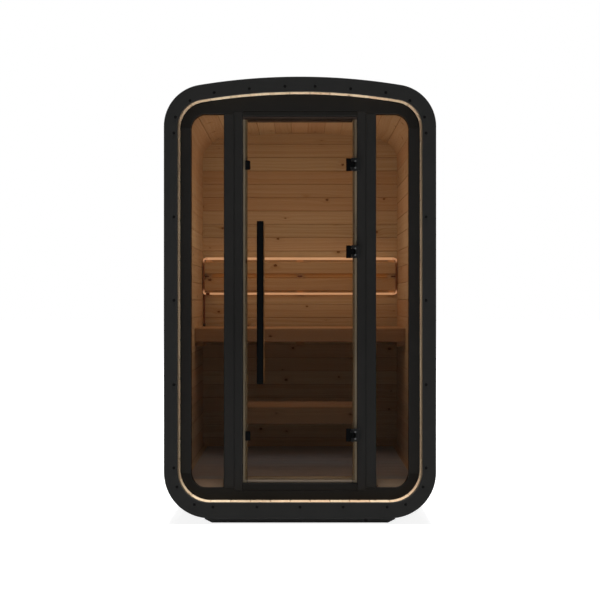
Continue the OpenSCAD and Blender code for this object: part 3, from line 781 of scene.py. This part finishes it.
piece("handle_bar_outside", [bar(OUTSIDE_Y, 0.016, 0.0015)] + posts(OUTSIDE_Y, GLASS_Y[0]),
      black_metal, ("door_handle",), "door")
grip_wood = softwood("grip spruce", (0.80, 0.60, 0.40), (0.60, 0.40, 0.22),
                     (0.25, 0.12, 0.05), 0.5)
piece("handle_bar_inside", [bar(INSIDE_Y, 0.018, 0.003, 330)], grip_wood, ("inner_handle",),
      "door")
piece("handle_posts_inside", posts(INSIDE_Y, GLASS_Y[1]), black_metal, (),
      "door")

# ---------------------------------------------------------------------------
# Bench
# Five planed seat boards on three bearers, with a deep board along the front edge.

# A darker copy of the seat's spruce: painted shade on the bearers, the front board and the step,
# which sit in shade.
bench_wood_painted_shade = softwood("bench spruce painted shade", (0.52, 0.39, 0.26), (0.365, 0.235, 0.142),
                      (0.15, 0.07, 0.03), 0.55)
seat_wood = softwood("seat spruce", (0.80, 0.62, 0.42), (0.57, 0.38, 0.225),
                     (0.21, 0.10, 0.05), 0.55)
piece("bench_bearer_timbers", timbers("bench_bearers", 1, 340), bench_wood_painted_shade,
      ("bench_bearers",))
piece("bench_seat_boards", timbers("bench_seat", 0, 350, 0.005, 0.002), seat_wood,
      ("bench_seat",))
piece("bench_front_board", timbers("bench_fascia", 0, 360, 0.004), bench_wood_painted_shade,
      ("bench_fascia",))

# ---------------------------------------------------------------------------
# Backrest
# Two level boards on three battens, with a strip light along the top and the bottom. A
# bent hose joins the strips at each end, and their cable leaves in a tube down the wall.

STRIP_LEFT, STRIP_RIGHT = (-0.528, -0.553), 0.553
STRIP_TRIM = 0.0022
STRIP_Z = [(low[2] + high[2]) / 2 for low, high in solids("light_strips")]
BACKREST_MIDDLE = sum(STRIP_Z) / 2
HOSE_Y, HOSE_RADIUS = 0.6745, 0.0052
CONNECTOR_X, CONNECTOR_Y, CONNECTOR_HALF = (-0.549, -0.529), (0.669, 0.686), 0.0065
BRACKET_X, BRACKET_Y, BRACKET_HALF = (-0.548, 0.0, 0.548), (0.697, 0.7035), (0.014, 0.004)
TUBE_RADIUS = 0.0058

back_wood = softwood("backrest spruce", (0.80, 0.65, 0.43), (0.57, 0.39, 0.22),
                     (0.21, 0.10, 0.05), 0.55)
piece("backrest_batten_timbers", timbers("backrest_battens", 2, 370), back_wood,
      ("backrest_battens",))
piece("backrest_level_boards", timbers("backrest_boards", 0, 380, 0.006, 0.002), back_wood,
      ("backrest_boards",))


def glow(name, colour):
    """A warm diffuser lit from inside, a little brighter in slow patches along it."""
    f = Finish(name, 0.5)
    patch = f.noise(f.place(), 14.0, 2.0)
    f.set(Base_Color=(0.8, 0.7, 0.55, 1), Emission_Strength=1.0)
    f.set(Emission_Color=f.mix(patch, np.array(colour) * 0.85, colour))
    return f.material


strip_light = glow("warm strip light", (0.68, 0.375, 0.220))
strips = []
for k, (low, high) in enumerate(solids("light_strips")):
    low[0], high[0] = STRIP_LEFT[k], STRIP_RIGHT
    low[2] += STRIP_TRIM
    high[2] -= (STRIP_TRIM, 0.0)[k]
    strips.append(timber(low, high, 0, 0.004, 0.002, 390 + k))
piece("strip_light_diffusers", strips, strip_light, ("light_strips",))


def hose(path, y, radius, sides=16):
    """Circles of one radius carried along a line of (x, z) points at one y."""
    way = np.gradient(path, axis=0)
    way /= np.linalg.norm(way, axis=1)[:, None]
    across = np.stack([-way[:, 1], way[:, 0]], -1)
    angle = np.linspace(0, 2 * math.pi, sides, endpoint=False)
    rows = np.empty((len(path), sides, 3))
    rows[..., [0, 2]] = path[:, None] + radius * np.cos(angle)[:, None] * across[:, None]
    rows[..., 1] = y + radius * np.sin(angle)
    return loft(rows)


def hose_end(side, x=0.5620, corner=0.011, straight=0.012):
    """The hose from one strip to the other, at one end of the backrest.

    Its path is a short level line, two quarter circles with an upright line between them,
    and a level line back.
    """
    low, high = STRIP_Z
    angle = np.linspace(0, math.pi / 2, 7)
    up = np.stack([np.sin(angle), np.cos(angle)], -1) * corner
    start = x - corner - straight
    path = np.concatenate([[(start, high)], up + (x - corner, high - corner),
                           (up * (1, -1))[::-1] + (x - corner, low + corner), [(start, low)]])
    return hose(path * (side, 1), HOSE_Y, HOSE_RADIUS)


def hose_painted_glow(name):
    """Clear brown hose with a painted glow near both strips, standing for their light in it, and
    dull halfway between them.
    """
    f = Finish(name, 0.45)
    height = f.node("SeparateXYZ", {0: f.place()}, out=2)
    away = f.calc("ABSOLUTE", f.calc("SUBTRACT", height, BACKREST_MIDDLE))
    f.set(Base_Color=(0.34, 0.16, 0.085, 1), Emission_Color=(0.74, 0.41, 0.24, 1),
          Emission_Strength=f.ramp(away, 0.070, 0.100))
    return f.material


piece("strip_hose_ends", [hose_end(side) for side in (-1, 1)], hose_painted_glow("hose ends painted glow"), ())

dark_plastic = satin("brown plastic", (0.24, 0.105, 0.065), 0.5, 0.3)
connector = timber((CONNECTOR_X[0], CONNECTOR_Y[0], STRIP_Z[0] - CONNECTOR_HALF),
                   (CONNECTOR_X[1], CONNECTOR_Y[1], STRIP_Z[0] + CONNECTOR_HALF), 0, 0.002, 0.001)
piece("hose_connector", [connector], dark_plastic, ())
# Dark spots on the battens where they show through the gap: partly brackets, partly painted shade
# of the battens.
wide, tall = BRACKET_HALF
brackets_painted_shade = [timber((x - wide, BRACKET_Y[0], BACKREST_MIDDLE - tall),
                   (x + wide, BRACKET_Y[1], BACKREST_MIDDLE + tall), 0, 0.001, 0.0005)
            for x in BRACKET_X]
piece("backrest_brackets", brackets_painted_shade, dark_plastic, ())
tube_low, tube_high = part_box("cable_tube")
tube_at = (tube_low[0] + TUBE_RADIUS, (tube_low[1] + tube_high[1]) / 2, 0.0)
tube = [(tube_low[2], TUBE_RADIUS - 0.002), (tube_low[2] + 0.002, TUBE_RADIUS),
        (tube_high[2] - 0.001, TUBE_RADIUS), (tube_high[2], TUBE_RADIUS - 0.001)]
collar = [(tube_low[2] + way, TUBE_RADIUS + more)
          for way, more in ((0.001, 0.0006), (0.0015, 0.0012), (0.0155, 0.0012), (0.016, 0.0006))]
piece("cable_cover_tube", [turned(tube, tube_at, 2, 24)], dark_plastic, ("cable_tube",))
black_plastic = satin("black plastic", (0.030, 0.018, 0.014), 0.5, 0.3)
piece("cable_tube_collar", [turned(collar, tube_at, 2, 24)], black_plastic)

# ---------------------------------------------------------------------------
# Step
# A low stool on four legs stands in front of the bench, with three treads and a board
# along its front.

# The step uses the bench's darker spruce: painted shade.
piece("step_leg_timbers", timbers("step_legs", 2, 400), bench_wood_painted_shade, ("step_legs",))
piece("step_bearer_timbers", timbers("step_bearers", 1, 410), bench_wood_painted_shade, ("step_bearers",))
piece("step_tread_boards", timbers("step_top", 0, 420, 0.005, 0.002), bench_wood_painted_shade,
      ("step_top",))
piece("step_front_board", timbers("step_fascia", 0, 430, 0.004), bench_wood_painted_shade, ("step_fascia",))

# ---------------------------------------------------------------------------
# Floor, light and camera
# A plain pale floor that keeps the cabin's shadow, a soft lamp high above, weak ones in
# front and behind, the cabin's own light inside, and a camera level with its middle.

FLOOR_HALF = 60
NEAR, FAR = 2.0, 8.0  # the floor's own light rises between these distances
NEAR_LIGHT, FAR_LIGHT = 0.88, 1.0
WARM = (1.0, 0.82, 0.68)


def seen_directly(tree):
    """1 for a ray from the camera, or one mirrored or let through on its way."""
    path = tree.nodes.new("ShaderNodeLightPath").outputs
    most = path["Is Camera Ray"]
    for name in ("Is Glossy Ray", "Is Transmission Ray"):
        pick = tree.nodes.new("ShaderNodeMath")
        pick.operation = "MAXIMUM"
        tree.links.new(most, pick.inputs[0])
        tree.links.new(path[name], pick.inputs[1])
        most = pick.outputs[0]
    return most


ground = bpy.data.meshes.new("ground")
corners = [(x * FLOOR_HALF, y * FLOOR_HALF, 0) for x, y in ((-1, -1), (1, -1), (1, 1), (-1, 1))]
ground.from_pydata(corners, [], [(0, 1, 2, 3)])
floor = bpy.data.objects.new("ground", ground)
bpy.context.collection.objects.link(floor)
pale = bpy.data.materials.new("pale floor")
pale.use_nodes = True
tree = pale.node_tree
tree.nodes.remove(tree.nodes["Principled BSDF"])
matt, own, both = (tree.nodes.new("ShaderNode" + kind)
                   for kind in ("BsdfDiffuse", "Emission", "AddShader"))
matt.inputs["Color"].default_value = (0.58, 0.58, 0.58, 1)
own.inputs["Color"].default_value = (1, 1, 1, 1)
far = tree.nodes.new("ShaderNodeVectorMath")
far.operation = "LENGTH"
tree.links.new(tree.nodes.new("ShaderNodeTexCoord").outputs["Object"], far.inputs[0])
level = tree.nodes.new("ShaderNodeMapRange")
for k, value in enumerate((NEAR, FAR, NEAR_LIGHT, FAR_LIGHT), 1):
    level.inputs[k].default_value = value
tree.links.new(far.outputs["Value"], level.inputs[0])
seen = tree.nodes.new("ShaderNodeMath")
seen.operation = "MULTIPLY"
tree.links.new(seen_directly(tree), seen.inputs[0])
tree.links.new(level.outputs[0], seen.inputs[1])
tree.links.new(seen.outputs[0], own.inputs["Strength"])
tree.links.new(matt.outputs[0], both.inputs[0])
tree.links.new(own.outputs[0], both.inputs[1])
tree.links.new(both.outputs[0], tree.nodes["Material Output"].inputs["Surface"])
ground.materials.append(pale)

world = bpy.data.worlds.new("studio")
bpy.context.scene.world = world
world.use_nodes = True
tree = world.node_tree
room = tree.nodes["Background"]
room.inputs["Color"].default_value = (0.07, 0.07, 0.07, 1)
white = tree.nodes.new("ShaderNodeBackground")
white.inputs["Color"].default_value = (1, 1, 1, 1)
pick = tree.nodes.new("ShaderNodeMixShader")
tree.links.new(seen_directly(tree), pick.inputs[0])
tree.links.new(room.outputs[0], pick.inputs[1])
tree.links.new(white.outputs[0], pick.inputs[2])
tree.links.new(pick.outputs[0], tree.nodes["World Output"].inputs["Surface"])


def lamp(name, place, towards, size, watts, colour=(1, 1, 1), spread=180):
    """A soft square lamp that looks at a point and shows in nothing."""
    light = bpy.data.lights.new(name, "AREA")
    light.shape, light.size, light.size_y = "RECTANGLE", *size
    light.energy, light.color, light.spread = watts, colour, math.radians(spread)
    obj = bpy.data.objects.new(name, light)
    bpy.context.collection.objects.link(obj)
    way = np.array(towards, float) - place
    obj.location = place
    obj.rotation_euler = (math.atan2(math.hypot(way[0], way[1]), -way[2]), 0,
                          math.atan2(-way[0], way[1]))
    obj.visible_camera = obj.visible_glossy = False


lamp("key", (0.0, -1.95, 18.0), (0, -0.8, 1.0), (4.0, 0.6), 4500)
lamp("low bounce", (0.0, -1.05, 0.03), (0, -0.79, 2.03), (1.1, 0.10), 0.85, spread=20)
lamp("rear fill", (0.0, 4.0, 5.0), (0, 0.3, 1.0), (4.0, 2.0), 200)
inside = bpy.data.lights.new("cabin glow", "POINT")
inside.energy, inside.color, inside.shadow_soft_size = 5.0, (1.0, 0.86, 0.735), 0.22
glow_at = bpy.data.objects.new("cabin glow", inside)
glow_at.location = (0.0, -0.05, 1.45)
glow_at.visible_camera = glow_at.visible_glossy = False
bpy.context.collection.objects.link(glow_at)
lamp("under the step", (0.0, 0.0, 0.40), (0, 0.0, 0.0), (0.9, 0.46), 0.145,
     (1.0, 0.88, 0.80), spread=90)
lamp("above the backrest", (0.0, 0.690, 1.318), (0, 0.74, 1.9), (1.08, 0.012), 0.035, WARM)
lamp("below the backrest", (0.0, 0.690, 1.076), (0, 0.66, 0.90), (1.08, 0.012), 0.012, WARM)
lamp("behind the backrest", (0.0, 0.708, 1.195), (0, 1.0, 1.195), (1.08, 0.08), 0.055,
     (1.0, 0.43, 0.06))

camera = bpy.data.cameras.new("camera")
camera.lens, camera.sensor_width = 80.12, 36.0
eye = bpy.data.objects.new("camera", camera)
eye.location = (0.0, -7.12, 1.056)
eye.rotation_euler = (math.pi / 2, 0, 0)
bpy.context.collection.objects.link(eye)
bpy.context.scene.camera = eye
bpy.context.scene.view_settings.view_transform = "Standard"

bpy.context.view_layer.update()
